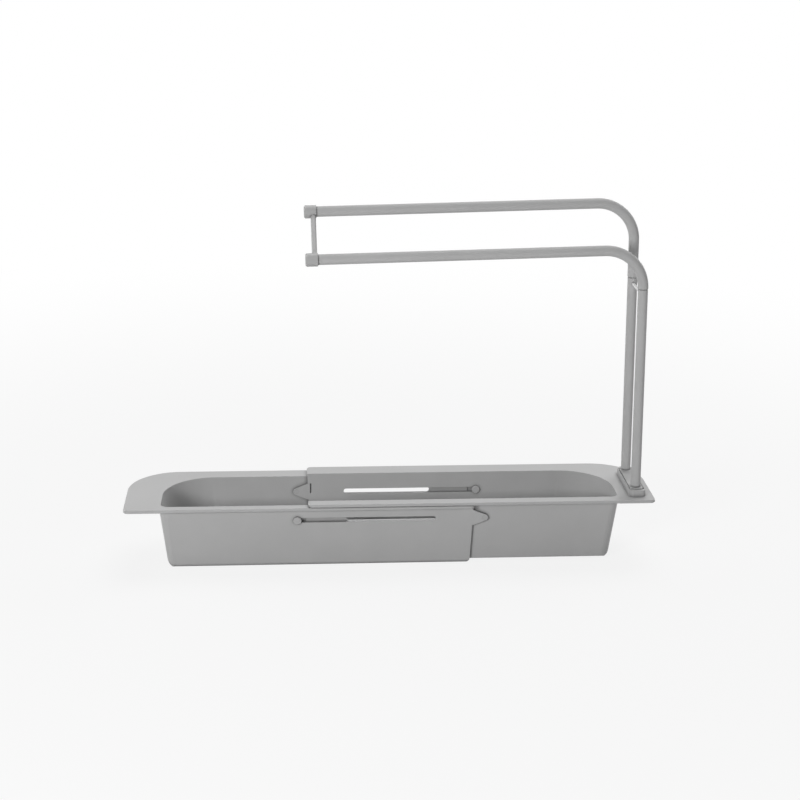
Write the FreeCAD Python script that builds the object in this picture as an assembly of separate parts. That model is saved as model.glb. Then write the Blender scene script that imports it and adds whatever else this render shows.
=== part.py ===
import FreeCAD, Part
import math
import os

# Telescopic caddy for a kitchen sink: two nesting trays that hang by their end lugs, and a towel
# hanger that plugs into the right lug. Millimetres, +X along the trays, +Y to the back, +Z up.
# The origin is under the middle of the retracted caddy, level with the outer tray's underside.

# Whole caddy
retracted_length = 410.0
caddy_depth = 88.0
slide_travel = 105.0

# Tray mouldings
tray_overlap = 128.0
outer_rim_height = 51.4
flange_thickness = 2.4
wall_thickness = 1.8
wall_draft_deg = 6.5
front_flange_width = 7.3
back_flange_width = 14.9
lug_length = 28.0
lug_front_radius = 4.0
lug_back_radius = 40.0
flange_end_radius = 3.5
opening_front_radius = 6.0
opening_back_radius = 40.0
floor_side_radius = 0.6
floor_end_radius = 4.7
rim_edge_chamfer = 0.5
end_trim_radius = 4.0
end_draft_deg = 2.2

# Running fits between the trays
nest_clearance = 0.3
flange_clearance = 0.2
floor_clearance = 0.3

# Guide slots, spring tongues and guide pins
slot_drop = 12.4
pin_play = 0.3
pin_fit_clearance = 0.05
pin_shank_diameter = 3.4
pin_head_diameter = 6.4
pin_head_height = 1.3
pin_head_chamfer = 0.4
tongue_reach = 11.2
tongue_base_height = 12.8
tongue_tip_radius = 2.8
tongue_thickness = 1.0
tongue_root_length = 1.7
tongue_step = 1.7
hinge_groove_width = 1.0
hinge_groove_depth = 1.2
hinge_groove_height = 7.6
hinge_groove_setback = 2.4
hinge_groove_rise = 2.8

# Drain slots in the tray floors
drain_slot_length = 26.0
drain_slot_width = 5.0
drain_corner_chamfer = 1.4
drain_gap = 12.0
drain_row_spacing = 22.0
drain_rows = 2
drain_end_margin = 26.0

# Hanger socket on the right lug
socket_inset = 12.6
socket_forward = 1.2
pedestal_height = 4.8
pedestal_draft_run = 0.5
pedestal_front_radius = 4.0
pedestal_back_radius = 6.0
pedestal_front_margin = 3.3
pedestal_back_margin = 2.4
pedestal_side_margin = 1.2
recess_depth = 2.6
recess_gap = 0.5
plug_clearance = 0.3
foot_seat_gap = 0.2
foot_proud = 0.6
plug_bottom_gap = 0.3

# Hanger foot
foot_width = 10.2
foot_front_margin = 3.4
foot_back_margin = 1.0
foot_front_radius = 3.0
foot_back_radius = 4.6
foot_edge_chamfer = 0.4
plug_shoulder = 0.7
bore_floor = 1.0

# Hanger tubes
bar_diameter = 8.0
post_diameter = 7.6
post_wall = 0.8
tube_fit_clearance = 0.05
post_spacing = 40.4
front_bar_height = 247.4
bar_step = 28.4
bend_radius = 29.0
front_riser = 1.0
bar_reach = 254.2
tail_length = 20.0
seam_chamfer = 0.5
bar_droop_deg = 0.7
hanger_lean_deg = 0.8

# Hanger joining pieces
brace_diameter = 2.4
brace_drop = 4.7
cap_diameter = 10.0
cap_length = 9.4
cap_end_wall = 2.0
cap_edge_chamfer = 0.9
strut_diameter = 4.0
strut_inset = 0.4

# Cutting tools reach this far past what they cut
cut_overrun = 2.0
match_tolerance = 0.01

quarter_turn = 90.0
full_turn = 360.0

# Worked-out places
draft_slope = math.tan(math.radians(wall_draft_deg))
draft_run = 1.0 / math.cos(math.radians(wall_draft_deg))
half_length = retracted_length / 2
half_depth = caddy_depth / 2
tray_end = tray_overlap / 2
slot_level = outer_rim_height - slot_drop
inner_rim_height = outer_rim_height + flange_clearance + flange_thickness
inner_underside = wall_thickness + floor_clearance
lug_thickness = flange_thickness + flange_clearance
opening_end = lug_length - half_length
outer_front = front_flange_width - half_depth
outer_back = half_depth - back_flange_width
trough_middle = (outer_front + outer_back) / 2
tray_step = (nest_clearance + wall_thickness) * draft_run
tray_step = tray_step - (inner_rim_height - outer_rim_height) * draft_slope
inner_front = outer_front + tray_step
inner_back = outer_back - tray_step

inner_wall_face = -wall_thickness - nest_clearance

pin_radius = pin_shank_diameter / 2
pin_place = tray_end + tongue_reach - tongue_tip_radius
slot_half_height = pin_radius + pin_play
slot_closed_end = -pin_place - slot_half_height
slot_open_end = slide_travel - pin_place + slot_half_height

post_place = half_length - socket_inset
front_post_y = trough_middle - socket_forward - post_spacing / 2
back_post_y = front_post_y + post_spacing
bar_radius = bar_diameter / 2
post_radius = post_diameter / 2
post_bore_radius = post_radius - post_wall
pedestal_top = inner_rim_height + pedestal_height
ledge_height = pedestal_top - recess_depth
foot_top = pedestal_top + foot_proud
plug_bottom = inner_rim_height - flange_thickness + plug_bottom_gap
post_bottom = plug_bottom + bore_floor
foot_front = front_post_y - post_radius - foot_front_margin
foot_back = back_post_y + post_radius + foot_back_margin
back_bar_height = front_bar_height + bar_step
seam_height = front_bar_height - bend_radius - front_riser
brace_height = seam_height - brace_drop

up = FreeCAD.Vector(0, 0, 1)
along = FreeCAD.Vector(1, 0, 0)
inward = FreeCAD.Vector(0, 1, 0)
centre = FreeCAD.Vector(0, 0, 0)
bar_droop = math.radians(bar_droop_deg)
bar_heading = FreeCAD.Vector(-math.cos(bar_droop), 0, -math.sin(bar_droop))
bar_over = FreeCAD.Vector(-math.sin(bar_droop), 0, math.cos(bar_droop))


def rounded_wire(corners, level):
    """Closed outline at one height through (x, y, radius) corners, with an arc at each radius."""
    points = [FreeCAD.Vector(x, y, level) for x, y, _ in corners]
    count = len(corners)
    stretches = []
    for index, point in enumerate(points):
        radius = corners[index][2]
        to_last = (points[index - 1] - point).normalize()
        to_next = (points[(index + 1) % count] - point).normalize()
        half_angle = to_last.getAngle(to_next) / 2
        inside = (to_last + to_next).normalize()
        setback = radius / math.tan(half_angle)
        start = point + to_last * setback
        end = point + to_next * setback
        middle = point + inside * (radius / math.sin(half_angle) - radius)
        stretches.append((start, middle, end, radius))
    edges = []
    for index, (start, middle, end, radius) in enumerate(stretches):
        if radius > 0:
            edges.append(Part.Arc(start, middle, end).toShape())
        next_start = stretches[(index + 1) % count][0]
        if end.distanceToPoint(next_start) > match_tolerance:
            edges.append(Part.LineSegment(end, next_start).toShape())
    return Part.Wire(edges)


def plate(corners, bottom, top):
    """Upright prism with a rounded outline."""
    face = Part.Face(rounded_wire(corners, bottom))
    return face.extrude(up * (top - bottom))


def box_corners(x_low, x_high, y_low, y_high, front_radius, back_radius):
    """Corners of a rectangle with one radius at the front and one at the back."""
    return [
        (x_low, y_low, front_radius),
        (x_high, y_low, front_radius),
        (x_high, y_high, back_radius),
        (x_low, y_high, back_radius),
    ]


def stadium_corners(x_low, x_high, y_middle, half_width):
    """Corners of a slot outline with full round ends."""
    return box_corners(x_low, x_high, y_middle - half_width, y_middle + half_width, half_width, half_width)


def chamfered_corners(x_low, x_high, y_low, y_high, chamfer):
    """Corners of a rectangle with each one cut off at 45 degrees."""
    points = []
    for x, y, x_in, y_in in (
        (x_low, y_low, 0, 1), (x_low, y_low, 1, 0), (x_high, y_low, -1, 0), (x_high, y_low, 0, 1),
        (x_high, y_high, 0, -1), (x_high, y_high, -1, 0), (x_low, y_high, 1, 0), (x_low, y_high, 0, -1),
    ):
        points.append((x + x_in * chamfer, y + y_in * chamfer, 0))
    return points


def edges_where(shape, test):
    """Edges of a shape whose two ends both pass a test."""
    return [edge for edge in shape.Edges if all(test(vertex.Point) for vertex in edge.Vertexes)]


def same(first, second):
    return abs(first - second) < match_tolerance


def leaning_walls(end_x, front_y, back_y, rim, bottom, top, skin):
    """Block with walls that lean out, closed with rounded corners at low X and square past the open end."""
    far_x = tray_end + tongue_reach + cut_overrun

    def ring(level):
        inset = (rim - level) * draft_slope
        return [
            FreeCAD.Vector(end_x + inset, front_y + inset, level),
            FreeCAD.Vector(far_x, front_y + inset, level),
            FreeCAD.Vector(far_x, back_y - inset, level),
            FreeCAD.Vector(end_x + inset, back_y - inset, level),
        ]

    low, high = ring(bottom), ring(top)
    sides = [[low[i], low[(i + 1) % 4], high[(i + 1) % 4], high[i]] for i in range(4)]
    faces = [Part.Face(Part.makePolygon(loop + loop[:1])) for loop in sides + [low, high]]
    block = Part.makeSolid(Part.makeShell(faces))

    def on_end(point):
        return same(point.x, end_x + (rim - point.z) * draft_slope)

    def at_back(point):
        return on_end(point) and same(point.y, back_y - (rim - point.z) * draft_slope)

    def at_front(point):
        return on_end(point) and same(point.y, front_y + (rim - point.z) * draft_slope)

    block = block.makeFillet(opening_back_radius + skin, edges_where(block, at_back))
    return block.makeFillet(opening_front_radius + skin, edges_where(block, at_front))


def drafted_block(end_x, front_y, back_y, rim, bottom, top, skin):
    """Trough form: leaning walls crossed with a side profile and a cross-section that round the floor.

    Its corner radii are the trough's inner ones plus a skin, which is the wall for the outside form.
    """
    far_x = tray_end + tongue_reach + cut_overrun
    low = (rim - bottom) * draft_slope
    high = (rim - top) * draft_slope
    profile = plate(
        [
            (end_x + low, bottom, floor_end_radius + skin),
            (far_x, bottom, 0),
            (far_x, top, 0),
            (end_x + high, top, 0),
        ],
        -caddy_depth,
        caddy_depth,
    )
    profile.rotate(centre, along, quarter_turn)
    section = plate(
        [
            (front_y + low, bottom, floor_side_radius + skin),
            (back_y - low, bottom, floor_side_radius + skin),
            (back_y - high, top, 0),
            (front_y + high, top, 0),
        ],
        -retracted_length,
        retracted_length,
    )
    section.rotate(centre, along, quarter_turn)
    section.rotate(centre, up, quarter_turn)
    walls = leaning_walls(end_x, front_y, back_y, rim, bottom - cut_overrun, top + cut_overrun, skin)
    return profile.common(section).common(walls).removeSplitter()


def on_front_wall(shape):
    """Stand a flat shape on the front walls: its Z axis becomes their outward normal at slot level."""
    face_y = outer_front - wall_thickness * draft_run + (outer_rim_height - slot_level) * draft_slope
    placed = shape.copy()
    turn = FreeCAD.Rotation(along, quarter_turn + wall_draft_deg)
    stand = FreeCAD.Placement(FreeCAD.Vector(0, face_y, slot_level), turn)
    placed.Placement = stand.multiply(shape.Placement)
    return placed


def on_back_wall(shape):
    """The same shape on the back walls, as the front walls' mirror image."""
    return on_front_wall(shape).mirror(FreeCAD.Vector(0, trough_middle, 0), inward)


def on_both_walls(shape):
    return [on_front_wall(shape), on_back_wall(shape)]


def end_trim(rim):
    """What is cut away past the open end, which leans in with a draft to a rounded lower corner."""
    far_x = tray_end + tongue_reach + 2 * cut_overrun
    low_end = tray_end - rim * math.tan(math.radians(end_draft_deg))
    start = FreeCAD.Vector(low_end - end_trim_radius, 0, -cut_overrun)
    low = FreeCAD.Vector(low_end - end_trim_radius, 0, 0)
    bend = end_trim_radius * math.sqrt(0.5)
    middle = FreeCAD.Vector(low_end - end_trim_radius + bend, 0, end_trim_radius - bend)
    high = FreeCAD.Vector(low_end, 0, end_trim_radius)
    top = FreeCAD.Vector(tray_end, 0, rim + cut_overrun)
    top_far = FreeCAD.Vector(far_x, 0, rim + cut_overrun)
    low_far = FreeCAD.Vector(far_x, 0, -cut_overrun)
    edges = [Part.LineSegment(start, low).toShape(), Part.Arc(low, middle, high).toShape()]
    for first, second in ((high, top), (top, top_far), (top_far, low_far), (low_far, start)):
        edges.append(Part.LineSegment(first, second).toShape())
    profile = Part.Face(Part.Wire(edges))
    profile.translate(inward * -caddy_depth)
    return profile.extrude(inward * (2 * caddy_depth))


def tongue_blade(low, thickness):
    """Flat spring tongue past the open end, its flanks tangent to a round tip about the pin's hole."""
    half_base = tongue_base_height / 2
    span = pin_place - tray_end
    reach = math.hypot(span, half_base)
    flank_angle = math.asin(tongue_tip_radius / reach) - math.atan2(half_base, span)
    touch_x = pin_place - tongue_tip_radius * math.sin(flank_angle)
    touch_y = tongue_tip_radius * math.cos(flank_angle)
    root = tray_end - tongue_root_length
    below = [(root, -half_base), (tray_end, -half_base), (touch_x, -touch_y)]
    above = [(x, -y) for x, y in reversed(below)]
    lower = [FreeCAD.Vector(x, y, low) for x, y in below]
    upper = [FreeCAD.Vector(x, y, low) for x, y in above]
    tip = FreeCAD.Vector(pin_place + tongue_tip_radius, 0, low)
    straight = list(zip(lower, lower[1:])) + [(upper[-1], lower[0])] + list(zip(upper, upper[1:]))
    edges = [Part.LineSegment(first, second).toShape() for first, second in straight]
    edges.append(Part.Arc(lower[-1], tip, upper[0]).toShape())
    outline = Part.Wire(Part.__sortEdges__(edges))
    return Part.Face(outline).extrude(up * thickness)


def tray(front_y, back_y, rim, underside, wall_face):
    """One tray moulding, closed end at low X: trough, flange and lug, guide slots and floor drains.

    The flange is thinner along the sides than at the lug, where one tray's slides over the other's.
    """
    run = wall_thickness * draft_run
    body = drafted_block(
        opening_end - run, front_y - run, back_y + run, rim, underside, rim, wall_thickness,
    )
    trim = end_trim(rim)
    trim.translate(up * underside)
    body = body.cut(trim)
    flange = plate(
        [
            (-half_length, -half_depth, lug_front_radius),
            (tray_end, -half_depth, flange_end_radius),
            (tray_end, half_depth, flange_end_radius),
            (-half_length, half_depth, lug_back_radius),
        ],
        rim - lug_thickness,
        rim,
    )
    edges = [edge for edge in flange.Edges if same(edge.BoundBox.ZLength, 0)]
    flange = flange.makeChamfer(rim_edge_chamfer, edges)
    relief = plate(
        box_corners(opening_end, tray_end + cut_overrun, -caddy_depth, caddy_depth, 0, 0),
        rim - lug_thickness - cut_overrun,
        rim - flange_thickness,
    )
    cavity = drafted_block(
        opening_end, front_y, back_y, rim, underside + wall_thickness, rim + cut_overrun, 0,
    )
    slot = plate(
        stadium_corners(slot_closed_end, slot_open_end, 0, slot_half_height),
        wall_face - wall_thickness - cut_overrun,
        wall_face + cut_overrun,
    )
    shell = body.fuse(flange.cut(relief)).cut(cavity)
    return shell.cut(on_both_walls(slot) + floor_drains(underside)).removeSplitter()


def floor_drains(underside):
    """Rows of slots that let water through a tray's floor."""
    first = opening_end + drain_end_margin
    last = tray_end - drain_end_margin
    pitch = drain_slot_length + drain_gap
    count = int((last - first + drain_gap) / pitch)
    spare = (last - first + drain_gap - count * pitch) / 2
    drains = []
    for row in range(drain_rows):
        middle = trough_middle + (row - (drain_rows - 1) / 2) * drain_row_spacing
        for index in range(count):
            start = first + spare + index * pitch
            corners = chamfered_corners(
                start, start + drain_slot_length,
                middle - drain_slot_width / 2, middle + drain_slot_width / 2, drain_corner_chamfer,
            )
            drains.append(plate(corners, underside - cut_overrun, underside + wall_thickness + cut_overrun))
    return drains


def with_tongues(moulding, wall_face, blade_low):
    """Add the spring tongues, as thick as the walls at the root and thinner beyond, and their pin holes."""
    hole_radius = pin_radius + pin_fit_clearance
    hole = Part.makeCylinder(hole_radius, tongue_thickness + 2 * cut_overrun)
    hole.translate(FreeCAD.Vector(pin_place, 0, blade_low - cut_overrun))
    blade = tongue_blade(blade_low, tongue_thickness)
    root = tongue_blade(wall_face - wall_thickness, wall_thickness)
    beyond = plate(
        box_corners(tray_end + tongue_step, retracted_length, -outer_rim_height, outer_rim_height, 0, 0),
        wall_face - wall_thickness - cut_overrun,
        wall_face + cut_overrun,
    )
    moulding = moulding.fuse(on_both_walls(blade) + on_both_walls(root.cut(beyond)))
    return moulding.cut(on_both_walls(hole)).removeSplitter()


def hinge_grooves():
    """Upright grooves inside the walls of the inner tray, along which its tongues spring."""
    x_high = tray_end - hinge_groove_setback
    y_low = hinge_groove_rise - hinge_groove_height / 2
    corners = box_corners(x_high - hinge_groove_width, x_high, y_low, y_low + hinge_groove_height, 0, 0)
    inside = inner_wall_face - wall_thickness
    return on_both_walls(plate(corners, inside - cut_overrun, inside + hinge_groove_depth))


def socket_outline(side_growth, front_growth, back_growth, front_radius, back_radius):
    """Outline round the two posts, grown from the foot's own outline."""
    half_width = foot_width / 2 + side_growth
    return box_corners(
        -post_place - half_width, -post_place + half_width,
        foot_front - front_growth, foot_back + back_growth,
        front_radius, back_radius,
    )


def foot_outline(growth):
    """The foot's outline, grown the same all round."""
    return socket_outline(growth, growth, growth, foot_front_radius + growth, foot_back_radius + growth)


def with_socket(moulding):
    """Raise the hanger's pedestal on the lug and sink its stepped socket."""
    base = rounded_wire(
        socket_outline(
            pedestal_side_margin + pedestal_draft_run,
            pedestal_front_margin + pedestal_draft_run,
            pedestal_back_margin + pedestal_draft_run,
            pedestal_front_radius, pedestal_back_radius,
        ),
        inner_rim_height - flange_thickness / 2,
    )
    top = rounded_wire(
        socket_outline(
            pedestal_side_margin, pedestal_front_margin, pedestal_back_margin,
            pedestal_front_radius, pedestal_back_radius,
        ),
        pedestal_top,
    )
    pedestal = Part.makeLoft([base, top], True, True)
    recess = plate(
        foot_outline(recess_gap),
        ledge_height,
        pedestal_top + cut_overrun,
    )
    hole = plate(
        foot_outline(plug_clearance - plug_shoulder),
        inner_rim_height - flange_thickness - cut_overrun,
        pedestal_top,
    )
    return moulding.fuse(pedestal).cut([recess, hole]).removeSplitter()


def flipped(shape):
    """Mirror image with the closed end at high X."""
    return shape.mirror(centre, along)


def make_outer_tray():
    """Left tray: its tongues are flush with the outside of its walls."""
    moulding = tray(outer_front, outer_back, outer_rim_height, 0, 0)
    return with_tongues(moulding, 0, -tongue_thickness)


def make_inner_tray():
    """Right tray: its tongues are flush with the inside of its walls."""
    moulding = tray(inner_front, inner_back, inner_rim_height, inner_underside, inner_wall_face)
    moulding = with_tongues(moulding, inner_wall_face, inner_wall_face - wall_thickness)
    return flipped(with_socket(moulding.cut(hinge_grooves())))


def pin(grip):
    """Guide pin: a plain shank as long as its grip and a flat head with its edge broken."""
    head_radius = pin_head_diameter / 2
    tip = grip + pin_head_height
    outline = [
        (0, 0),
        (pin_radius, 0),
        (pin_radius, grip),
        (head_radius, grip),
        (head_radius, tip - pin_head_chamfer),
        (head_radius - pin_head_chamfer, tip),
        (0, tip),
        (0, 0),
    ]
    profile = Part.Face(Part.makePolygon([FreeCAD.Vector(x, 0, z) for x, z in outline]))
    return profile.revolve(centre, up, full_turn)


def make_pins():
    """Two pins in each tray's tongues, heads on the far side of the other tray's wall."""
    stack = wall_thickness - inner_wall_face
    outer_pin = pin(stack + pin_play)
    outer_pin.rotate(centre, along, 2 * quarter_turn)
    outer_pin.translate(along * pin_place)
    inner_pin = pin(stack + pin_play)
    inner_pin.translate(along * pin_place - up * stack)
    return {
        "outer_pin_front": on_front_wall(outer_pin),
        "outer_pin_back": on_back_wall(outer_pin),
        "inner_pin_front": flipped(on_front_wall(inner_pin)),
        "inner_pin_back": flipped(on_back_wall(inner_pin)),
    }


def make_hanger_foot():
    """Plate that sits on the socket's ledge, plug below it, and bores for the two posts."""
    sole = ledge_height + foot_seat_gap
    plate_part = plate(foot_outline(0), sole, foot_top)
    top_edges = edges_where(plate_part, lambda p: same(p.z, foot_top))
    plate_part = plate_part.makeChamfer(foot_edge_chamfer, top_edges)
    plug = plate(foot_outline(-plug_shoulder), plug_bottom, sole)
    bores = []
    for post_y in (front_post_y, back_post_y):
        bore = Part.makeCylinder(post_radius + tube_fit_clearance, foot_top - post_bottom + cut_overrun)
        bore.translate(FreeCAD.Vector(-post_place, post_y, post_bottom))
        bores.append(bore)
    return flipped(plate_part.fuse(plug).cut(bores).removeSplitter())


def make_post(post_y, facing):
    """Straight tube from the foot to the seam, with the brace's hole on the side of the other post."""
    foot = FreeCAD.Vector(post_place, post_y, post_bottom)
    post = Part.makeCylinder(post_radius, seam_height - post_bottom, foot)
    post = post.makeChamfer(seam_chamfer, edges_where(post, lambda p: same(p.z, seam_height)))
    bore = Part.makeCylinder(post_bore_radius, seam_height - post_bottom, foot)
    hole_start = FreeCAD.Vector(post_place, post_y, brace_height)
    hole_radius = brace_diameter / 2 + tube_fit_clearance
    hole = Part.makeCylinder(hole_radius, post_radius + cut_overrun, hole_start, inward * facing)
    return post.cut([bore, hole])


def make_brace():
    """Round cross bar that is pegged into the walls of both posts below the seam."""
    start = FreeCAD.Vector(post_place, front_post_y + post_bore_radius, brace_height)
    return Part.makeCylinder(brace_diameter / 2, post_spacing - 2 * post_bore_radius, start, inward)


def bar_tail(post_y):
    """Necked-down lower end of a bar, which plugs into the top of its post."""
    foot = FreeCAD.Vector(post_place, post_y, seam_height - tail_length)
    return Part.makeCylinder(post_bore_radius - tube_fit_clearance, tail_length, foot)


def elbow_pivot(post_y, bar_height):
    """Point that a bar's elbow turns about."""
    return FreeCAD.Vector(post_place - bend_radius, post_y, bar_height - bend_radius)


def bar_tip(post_y, bar_height):
    """Free end of a bar with its cap on."""
    straight = bar_reach - bend_radius
    return elbow_pivot(post_y, bar_height) + bar_over * bend_radius + bar_heading * straight


def make_bar(post_y, bar_height):
    """Bent bar: up from its tail in the post, round the elbow, and out over the trays into its end cap."""
    seam = FreeCAD.Vector(post_place, post_y, seam_height)
    pivot = elbow_pivot(post_y, bar_height)
    elbow_end = pivot + bar_over * bend_radius
    riser = Part.makeCylinder(bar_radius, pivot.z - seam_height, seam)
    riser = riser.makeChamfer(seam_chamfer, edges_where(riser, lambda p: same(p.z, seam_height)))
    length = bar_reach - bend_radius - cap_end_wall - tube_fit_clearance
    arm = Part.makeCylinder(bar_radius, length, elbow_end, bar_heading)
    section = Part.Face(Part.Wire(Part.makeCircle(bar_radius, elbow_end, bar_heading)))
    elbow = section.revolve(pivot, inward, quarter_turn + bar_droop_deg)
    return riser.fuse([elbow, arm, bar_tail(post_y)]).removeSplitter()


def make_end_bridge():
    """Moulding that caps both bars and holds them apart: two cups and a slanted strut."""
    front = bar_tip(front_post_y, front_bar_height)
    back = bar_tip(back_post_y, back_bar_height)
    cups = []
    bores = []
    for tip in (front, back):
        cup = Part.makeCylinder(cap_diameter / 2, cap_length, tip, -bar_heading)
        closed_rim = edges_where(cup, lambda p: same((p - tip).dot(bar_heading), 0))
        cups.append(cup.makeChamfer(cap_edge_chamfer, closed_rim))
        bore_start = tip - bar_heading * cap_end_wall
        bore_depth = cap_length - cap_end_wall + cut_overrun
        bore = Part.makeCylinder(bar_radius + tube_fit_clearance, bore_depth, bore_start, -bar_heading)
        bores.append(bore)
    offset = bar_heading * (strut_inset + strut_diameter / 2 - cap_length)
    span = back - front
    strut = Part.makeCylinder(strut_diameter / 2, span.Length, front + offset, span)
    return cups[0].fuse([cups[1], strut]).cut(bores).removeSplitter()


def make_hanger():
    """Towel hanger, leaning in its socket towards its free end under its own weight."""
    pieces = {
        "hanger_foot": make_hanger_foot(),
        "front_post": make_post(front_post_y, 1),
        "back_post": make_post(back_post_y, -1),
        "post_brace": make_brace(),
        "front_bar": make_bar(front_post_y, front_bar_height),
        "back_bar": make_bar(back_post_y, back_bar_height),
        "end_bridge": make_end_bridge(),
    }
    seat = FreeCAD.Vector(post_place, 0, ledge_height)
    for piece in pieces.values():
        piece.rotate(seat, inward, -hanger_lean_deg)
    return pieces


def make_parts():
    parts = {"outer_tray": make_outer_tray(), "inner_tray": make_inner_tray()}
    parts.update(make_pins())
    parts.update(make_hanger())
    return parts


os.makedirs("parts", exist_ok=True)
for name, shape in make_parts().items():
    shape.exportStep(os.path.join("parts", name + ".step"))
    print(name, shape.isValid(), len(shape.Solids), round(shape.Volume), shape.BoundBox)
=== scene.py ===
"""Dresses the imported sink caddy: satin plastic finishes, a pale studio floor and the photograph's camera."""

import logging
import math
from dataclasses import dataclass, field
from enum import Enum

import bpy
from mathutils import Matrix, Vector

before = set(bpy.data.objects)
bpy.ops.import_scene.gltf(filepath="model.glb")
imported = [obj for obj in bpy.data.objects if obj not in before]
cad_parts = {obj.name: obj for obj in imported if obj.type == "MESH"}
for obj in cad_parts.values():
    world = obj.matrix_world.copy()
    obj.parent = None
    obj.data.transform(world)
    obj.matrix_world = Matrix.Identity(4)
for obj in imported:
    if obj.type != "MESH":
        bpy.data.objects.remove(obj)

LOG = logging.getLogger("sink_caddy")
WHITE = (1.0, 1.0, 1.0, 1.0)

Colour = tuple[float, float, float]
Point = tuple[float, float, float]


class Lines(Enum):
    """How a finish's fine drawn lines run, as the stretch of their pattern along X, Y and Z."""

    ALONG = (0.06, 1.0, 1.0)
    UPRIGHT = (1.0, 1.0, 0.06)
    CROSSWISE = (1.0, 0.06, 1.0)
    EVEN = (1.0, 1.0, 1.0)


class NodeTree:
    """Small helper that adds and joins nodes in one material, world or geometry group."""

    def __init__(self, tree: bpy.types.NodeTree) -> None:
        """Start from an empty tree.

        Args:
            tree: The tree to fill. What it holds is cleared.
        """
        self.tree = tree
        self.tree.nodes.clear()

    def add(self, kind: str, **values: object) -> bpy.types.Node:
        """Add a node and set its sockets or settings by name.

        Args:
            kind: Blender's type name for the node.
            values: Settings of the node, or default values of its input sockets, with _ for a space.

        Returns:
            The new node.
        """
        node = self.tree.nodes.new(kind)
        for name, value in values.items():
            socket = node.inputs.get(name.replace("_", " "))
            if socket is None:
                setattr(node, name, value)
            else:
                socket.default_value = value
        return node

    def join(self, source: bpy.types.NodeSocket, target: bpy.types.NodeSocket) -> None:
        """Link one socket to another."""
        self.tree.links.new(source, target)

    def background_rays(self) -> bpy.types.NodeSocket:
        """Tell the rays that show the background from those that only light a surface.

        Returns:
            A socket that is 1 for the camera's rays and those of gloss and glass, and 0 for the rest.
        """
        rays = self.add("ShaderNodeLightPath")
        glossy = self.add("ShaderNodeMath", operation="MAXIMUM")
        self.join(rays.outputs["Is Camera Ray"], glossy.inputs[0])
        self.join(rays.outputs["Is Glossy Ray"], glossy.inputs[1])
        seen = self.add("ShaderNodeMath", operation="MAXIMUM")
        self.join(glossy.outputs["Value"], seen.inputs[0])
        self.join(rays.outputs["Is Transmission Ray"], seen.inputs[1])
        return seen.outputs["Value"]


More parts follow.
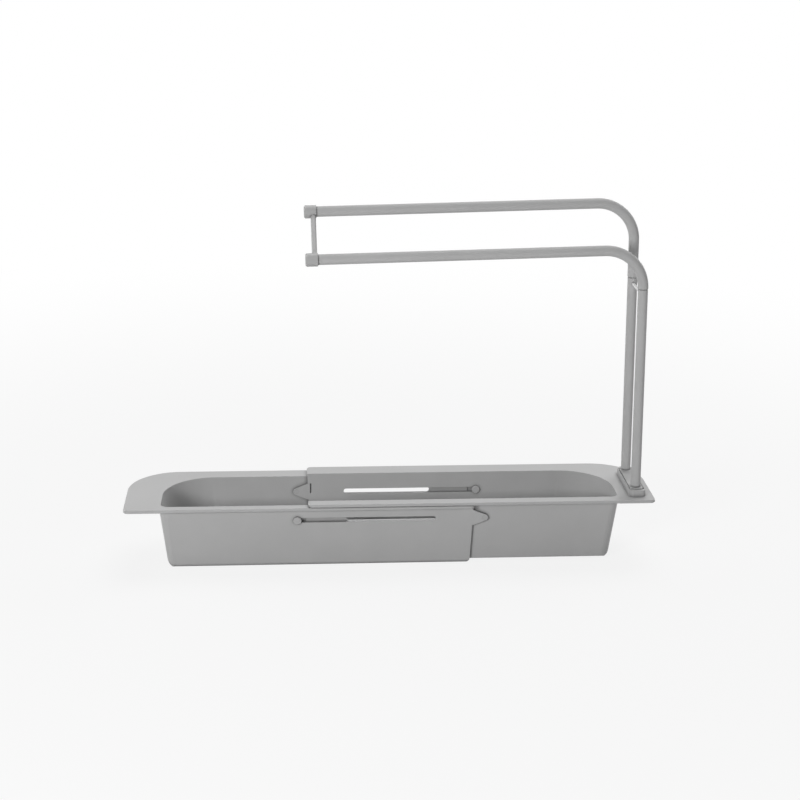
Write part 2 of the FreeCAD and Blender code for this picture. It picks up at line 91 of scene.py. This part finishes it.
@dataclass(frozen=True)
class SatinFinish:
    """Satin moulded plastic: one grey with faint clouding, fine grain, drawn lines and painted shade darkening
    it in narrow gaps and crevices.

    Depths, radii and reaches are in metres, and a pattern's scale is in features per metre.
    """

    name: str
    colour: Colour
    clouding: float = 0.03
    cloud_scale: float = 28.0
    cloud_detail: float = 4.0
    cloud_roughness: float = 0.6
    cloud_span: tuple[float, float] = (0.3, 0.7)
    roughness: float = 0.46
    roughness_spread: float = 0.05
    patch_scale_share: float = 2.0
    patch_detail: float = 3.0
    specular: float = 0.4
    grain_scale: float = 2600.0
    grain_detail: float = 2.0
    grain_depth: float = 0.000006
    lines: Lines = Lines.EVEN
    line_scale: float = 420.0
    line_detail: float = 3.0
    line_depth: float = 0.000004
    relief_strength: float = 0.5
    edge_radius: float = 0.0003
    edge_rays: int = 6
    painted_shade_reach: float = 0.0015
    painted_shade_rays: int = 12

    def material(self) -> bpy.types.Material:
        """Build the finish as a procedural material on Object coordinates.

        Returns:
            The new material.
        """
        material = bpy.data.materials.new(self.name)
        material.use_nodes = True
        nodes = NodeTree(material.node_tree)
        output = nodes.add("ShaderNodeOutputMaterial")
        shader = nodes.add("ShaderNodeBsdfPrincipled", Specular_IOR_Level=self.specular)
        nodes.join(shader.outputs["BSDF"], output.inputs["Surface"])
        place = nodes.add("ShaderNodeTexCoord").outputs["Object"]
        self.add_colour(nodes, place, shader)
        self.add_roughness(nodes, place, shader)
        self.add_relief(nodes, place, shader)
        return material

    def shade(self, change: float) -> tuple[float, float, float, float]:
        """The finish's colour, lighter or darker by a share of itself.

        Args:
            change: The share, below zero for darker.

        Returns:
            Red, green, blue and alpha.
        """
        return (*[part * (1.0 + change) for part in self.colour], 1.0)

    def add_colour(self, nodes: NodeTree, place: bpy.types.NodeSocket, shader: bpy.types.Node) -> None:
        """Cloud the colour slightly, as a moulding's pigment does, and darken it with painted shade in narrow
        gaps and crevices, where shade falls.

        Args:
            nodes: The material's tree.
            place: Object coordinates.
            shader: The shader that takes the colour.
        """
        cloud = nodes.add(
            "ShaderNodeTexNoise",
            Scale=self.cloud_scale,
            Detail=self.cloud_detail,
            Roughness=self.cloud_roughness,
        )
        nodes.join(place, cloud.inputs["Vector"])
        ramp = nodes.add("ShaderNodeValToRGB")
        low, high = ramp.color_ramp.elements
        low.position, high.position = self.cloud_span
        low.color = self.shade(-self.clouding)
        high.color = self.shade(self.clouding)
        nodes.join(cloud.outputs["Fac"], ramp.inputs["Fac"])
        # Painted shade: ambient occlusion darkens the colour near other surfaces, in gaps, crevices and under
        # overhangs.
        painted_seam_shade = nodes.add("ShaderNodeAmbientOcclusion", samples=self.painted_shade_rays, Distance=self.painted_shade_reach)
        nodes.join(ramp.outputs["Color"], painted_seam_shade.inputs["Color"])
        nodes.join(painted_seam_shade.outputs["Color"], shader.inputs["Base Color"])

    def add_roughness(self, nodes: NodeTree, place: bpy.types.NodeSocket, shader: bpy.types.Node) -> None:
        """Vary the gloss in soft patches, as handling leaves it.

        Args:
            nodes: The material's tree.
            place: Object coordinates.
            shader: The shader that takes the roughness.
        """
        patch_scale = self.cloud_scale * self.patch_scale_share
        patches = nodes.add("ShaderNodeTexNoise", Scale=patch_scale, Detail=self.patch_detail)
        nodes.join(place, patches.inputs["Vector"])
        smoothest = self.roughness - self.roughness_spread
        roughest = self.roughness + self.roughness_spread
        spread = nodes.add("ShaderNodeMapRange", To_Min=smoothest, To_Max=roughest)
        nodes.join(patches.outputs["Fac"], spread.inputs["Value"])
        nodes.join(spread.outputs["Result"], shader.inputs["Roughness"])

    def add_relief(self, nodes: NodeTree, place: bpy.types.NodeSocket, shader: bpy.types.Node) -> None:
        """Raise the fine grain and faint drawn lines, and shade sharp edges as slightly rounded.

        Args:
            nodes: The material's tree.
            place: Object coordinates.
            shader: The shader that takes the relief.
        """
        grain = nodes.add("ShaderNodeTexNoise", Scale=self.grain_scale, Detail=self.grain_detail)
        nodes.join(place, grain.inputs["Vector"])
        stretch = nodes.add("ShaderNodeMapping", Scale=self.lines.value)
        nodes.join(place, stretch.inputs["Vector"])
        drawn = nodes.add("ShaderNodeTexNoise", Scale=self.line_scale, Detail=self.line_detail)
        nodes.join(stretch.outputs["Vector"], drawn.inputs["Vector"])
        rounded = nodes.add("ShaderNodeBevel", samples=self.edge_rays, Radius=self.edge_radius)
        line_bump = nodes.add("ShaderNodeBump", Strength=self.relief_strength, Distance=self.line_depth)
        nodes.join(drawn.outputs["Fac"], line_bump.inputs["Height"])
        nodes.join(rounded.outputs["Normal"], line_bump.inputs["Normal"])
        grain_bump = nodes.add("ShaderNodeBump", Strength=self.relief_strength, Distance=self.grain_depth)
        nodes.join(grain.outputs["Fac"], grain_bump.inputs["Height"])
        nodes.join(line_bump.outputs["Normal"], grain_bump.inputs["Normal"])
        nodes.join(grain_bump.outputs["Normal"], shader.inputs["Normal"])


@dataclass(frozen=True)
class EdgeDressing:
    """Welds a CAD node's loose triangles and shades its curves smooth, with its creases sharp."""

    name: str = "smooth_to_crease"
    crease_degrees: float = 32.0
    weld_gap: float = 0.000002

    def smoothing_group(self) -> bpy.types.NodeTree:
        """Node group that welds a mesh and shades it smooth up to the crease angle.

        Returns:
            The group, made once and shared.
        """
        if self.name in bpy.data.node_groups:
            return bpy.data.node_groups[self.name]
        group = bpy.data.node_groups.new(self.name, "GeometryNodeTree")
        group.interface.new_socket("Geometry", in_out="INPUT", socket_type="NodeSocketGeometry")
        group.interface.new_socket("Geometry", in_out="OUTPUT", socket_type="NodeSocketGeometry")
        nodes = NodeTree(group)
        start = nodes.add("NodeGroupInput")
        weld = nodes.add("GeometryNodeMergeByDistance", Distance=self.weld_gap)
        smooth = nodes.add("GeometryNodeSetShadeSmooth", domain="FACE")
        angle = nodes.add("GeometryNodeInputMeshEdgeAngle")
        crease = math.radians(self.crease_degrees)
        sharp = nodes.add("FunctionNodeCompare", operation="GREATER_THAN", B=crease)
        creases = nodes.add("GeometryNodeSetShadeSmooth", domain="EDGE", Shade_Smooth=False)
        end = nodes.add("NodeGroupOutput")
        nodes.join(start.outputs["Geometry"], weld.inputs["Geometry"])
        nodes.join(weld.outputs["Geometry"], smooth.inputs["Geometry"])
        nodes.join(smooth.outputs["Geometry"], creases.inputs["Geometry"])
        nodes.join(angle.outputs["Unsigned Angle"], sharp.inputs["A"])
        nodes.join(sharp.outputs["Result"], creases.inputs["Selection"])
        nodes.join(creases.outputs["Geometry"], end.inputs["Geometry"])
        return group

    def apply(self, node: bpy.types.Object) -> None:
        """Add the dressing to one CAD node as a modifier, which leaves its mesh as it is.

        Args:
            node: The CAD node's object.
        """
        smoothing = node.modifiers.new(self.name, "NODES")
        smoothing.node_group = self.smoothing_group()


@dataclass
class SubAssembly:
    """CAD nodes that share one finish."""

    nodes: tuple[str, ...]
    finish: SatinFinish
    edges: EdgeDressing = EdgeDressing()

    def dress(self) -> None:
        """Give each node the finish and the edge dressing."""
        material = self.finish.material()
        for name in self.nodes:
            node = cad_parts[name]
            node.data.materials.clear()
            node.data.materials.append(material)
            self.edges.apply(node)
            LOG.info("%s: %s", name, self.finish.name)


@dataclass
class TrayPair(SubAssembly):
    """The two nested tray mouldings."""

    nodes: tuple[str, ...] = ("outer_tray", "inner_tray")
    finish: SatinFinish = SatinFinish(
        "tray_moulding",
        (0.42, 0.42, 0.42),
        roughness=0.36,
        lines=Lines.ALONG,
        specular=0.65,
        # The trays' painted shade reaches further, to darken under the flanges and around the tongues.
        painted_shade_reach=0.0032,
    )


@dataclass
class GuidePins(SubAssembly):
    """The four headed pins that run in the trays' slots."""

    nodes: tuple[str, ...] = ("outer_pin_front", "outer_pin_back", "inner_pin_front", "inner_pin_back")
    finish: SatinFinish = SatinFinish(
        "pin_moulding", (0.42, 0.42, 0.42), cloud_scale=90.0, edge_radius=0.0002
    )


@dataclass
class HangerPosts(SubAssembly):
    """The hanger's two straight tubes."""

    nodes: tuple[str, ...] = ("front_post", "back_post")
    finish: SatinFinish = SatinFinish("post_tube", (0.48, 0.48, 0.48), lines=Lines.UPRIGHT, specular=0.15)


@dataclass
class HangerBars(SubAssembly):
    """The hanger's two bent tubes."""

    nodes: tuple[str, ...] = ("front_bar", "back_bar")
    finish: SatinFinish = SatinFinish("bar_tube", (0.47, 0.47, 0.47), lines=Lines.ALONG, specular=0.15)


@dataclass
class HangerFittings(SubAssembly):
    """The hanger's foot and end bridge."""

    nodes: tuple[str, ...] = ("hanger_foot", "end_bridge")
    finish: SatinFinish = SatinFinish(
        "hanger_fitting", (0.42, 0.42, 0.42), cloud_scale=60.0, edge_radius=0.0
    )


@dataclass
class BraceRod(SubAssembly):
    """The cross bar between the posts, coloured far lighter than the grey parts as a painted highlight of its
    lit top face.
    """

    nodes: tuple[str, ...] = ("post_brace",)
    # Painted highlight: the pale colour stands in for the light on the bar's top face.
    finish: SatinFinish = SatinFinish("brace_rod", (0.8, 0.8, 0.8), lines=Lines.CROSSWISE, edge_radius=0.0)


@dataclass(frozen=True)
class SoftBox:
    """A square studio light that points at the caddy and stays out of the picture."""

    name: str
    place: Point
    side: float
    watts: float
    in_reflections: bool = True
    target: Point = (0.0, 0.0, 0.1)

    def build(self) -> None:
        """Add the light to the scene."""
        data = bpy.data.lights.new(self.name, "AREA")
        data.shape = "SQUARE"
        data.size = self.side
        data.energy = self.watts
        light = bpy.data.objects.new(self.name, data)
        light.location = self.place
        aim = Vector(self.target) - Vector(self.place)
        light.rotation_euler = aim.to_track_quat("-Z", "Y").to_euler()
        light.visible_camera = False
        light.visible_glossy = self.in_reflections
        bpy.context.scene.collection.objects.link(light)


@dataclass
class StudioFloor:
    """Pale floor that keeps the caddy's shadow and goes to white away from it."""

    half_side: float = 20.0
    colour: Colour = (0.6, 0.6, 0.6)
    shade_share: float = 0.15
    shade_near: float = 0.3
    shade_far: float = 1.1

    def build(self) -> None:
        """Lay the floor."""
        bpy.ops.mesh.primitive_plane_add(size=2.0 * self.half_side)
        floor = bpy.context.object
        floor.name = "studio_floor"
        floor.data.materials.append(self.material())

    def material(self) -> bpy.types.Material:
        """Matt paint under the lights, mixed with plain white where the floor is seen as background.

        Returns:
            The new material.
        """
        material = bpy.data.materials.new("studio_floor")
        material.use_nodes = True
        nodes = NodeTree(material.node_tree)
        output = nodes.add("ShaderNodeOutputMaterial")
        paint = nodes.add("ShaderNodeBsdfDiffuse", Color=(*self.colour, 1.0))
        white = nodes.add("ShaderNodeEmission", Color=WHITE, Strength=1.0)
        reach = nodes.add("ShaderNodeVectorMath", operation="LENGTH")
        nodes.join(nodes.add("ShaderNodeTexCoord").outputs["Object"], reach.inputs[0])
        share = nodes.add(
            "ShaderNodeMapRange",
            interpolation_type="SMOOTHSTEP",
            From_Min=self.shade_near,
            From_Max=self.shade_far,
            To_Min=1.0 - self.shade_share,
            To_Max=1.0,
        )
        nodes.join(reach.outputs["Value"], share.inputs["Value"])
        backdrop = nodes.add("ShaderNodeMath", operation="MULTIPLY")
        nodes.join(nodes.background_rays(), backdrop.inputs[0])
        nodes.join(share.outputs["Result"], backdrop.inputs[1])
        mix = nodes.add("ShaderNodeMixShader")
        nodes.join(backdrop.outputs["Value"], mix.inputs["Fac"])
        nodes.join(paint.outputs["BSDF"], mix.inputs[1])
        nodes.join(white.outputs["Emission"], mix.inputs[2])
        nodes.join(mix.outputs["Shader"], output.inputs["Surface"])
        return material


@dataclass
class Studio:
    """Pale floor, soft lights all round and a white surround."""

    floor: StudioFloor = field(default_factory=StudioFloor)
    ambient: float = 0.055
    lights: tuple[SoftBox, ...] = (
        SoftBox("key_light", (-0.77, -1.15, 0.5), 0.32, 11.9, in_reflections=False),
        SoftBox("top_light", (0.5, 1.2, 2.8), 2.0, 57.0),
        SoftBox("fill_light", (1.4, -1.05, 0.45), 0.8, 3.6),
        SoftBox("back_left_light", (-1.35, 1.15, 0.75), 0.9, 6.6),
        SoftBox("back_right_light", (1.35, 1.15, 0.75), 0.9, 6.6),
    )

    def build(self) -> None:
        """Make the floor, the lights and the world."""
        self.floor.build()
        for light in self.lights:
            light.build()
        self.build_world()

    def build_world(self) -> None:
        """White where it is seen as background, and a plain ambient level on surfaces."""
        world = bpy.data.worlds.new("studio_surround")
        bpy.context.scene.world = world
        world.use_nodes = True
        nodes = NodeTree(world.node_tree)
        output = nodes.add("ShaderNodeOutputWorld")
        sky = nodes.add("ShaderNodeBackground", Color=WHITE)
        level = nodes.add("ShaderNodeMapRange", To_Min=self.ambient, To_Max=1.0)
        nodes.join(nodes.background_rays(), level.inputs["Value"])
        nodes.join(level.outputs["Result"], sky.inputs["Strength"])
        nodes.join(sky.outputs["Background"], output.inputs["Surface"])


@dataclass
class PhotoCamera:
    """Camera at the photograph's viewing angle, fitted to the trays' straight edges."""

    place: Point = (-0.0800, -1.2747, 0.5188)
    yaw_degrees: float = 3.97
    pitch_degrees: float = 17.18
    roll_degrees: float = 0.56
    focal_pixels: float = 1715.8
    image_pixels: float = 800.0
    sensor_millimetres: float = 36.0

    def build(self) -> bpy.types.Object:
        """Add the camera and make it the scene's own.

        Returns:
            The camera's object.
        """
        data = bpy.data.cameras.new("photo_camera")
        data.sensor_fit = "HORIZONTAL"
        data.sensor_width = self.sensor_millimetres
        data.lens = self.focal_pixels / self.image_pixels * self.sensor_millimetres
        camera = bpy.data.objects.new("photo_camera", data)
        camera.matrix_world = Matrix.Translation(self.place) @ self.turn().to_4x4()
        bpy.context.scene.collection.objects.link(camera)
        bpy.context.scene.camera = camera
        return camera

    def turn(self) -> Matrix:
        """Work out which way the camera is turned.

        Returns:
            The rotation, with the camera's right, up and backward axes as its columns.
        """
        yaw = math.radians(self.yaw_degrees)
        pitch = math.radians(self.pitch_degrees)
        roll = math.radians(self.roll_degrees)
        forward = Vector((math.sin(yaw) * math.cos(pitch), math.cos(yaw) * math.cos(pitch), -math.sin(pitch)))
        level_right = Vector((math.cos(yaw), -math.sin(yaw), 0.0))
        level_up = level_right.cross(forward)
        right = level_right * math.cos(roll) + level_up * math.sin(roll)
        over = level_up * math.cos(roll) - level_right * math.sin(roll)
        return Matrix((right, over, -forward)).transposed()


def main() -> None:
    """Build the dressed caddy and its studio, in order."""
    logging.basicConfig(level=logging.INFO)
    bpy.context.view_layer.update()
    bpy.context.scene.view_settings.view_transform = "Standard"
    PhotoCamera().build()
    for assembly in (TrayPair(), GuidePins(), HangerPosts(), HangerBars(), HangerFittings(), BraceRod()):
        assembly.dress()
    Studio().build()


if __name__ == "__main__":
    main()
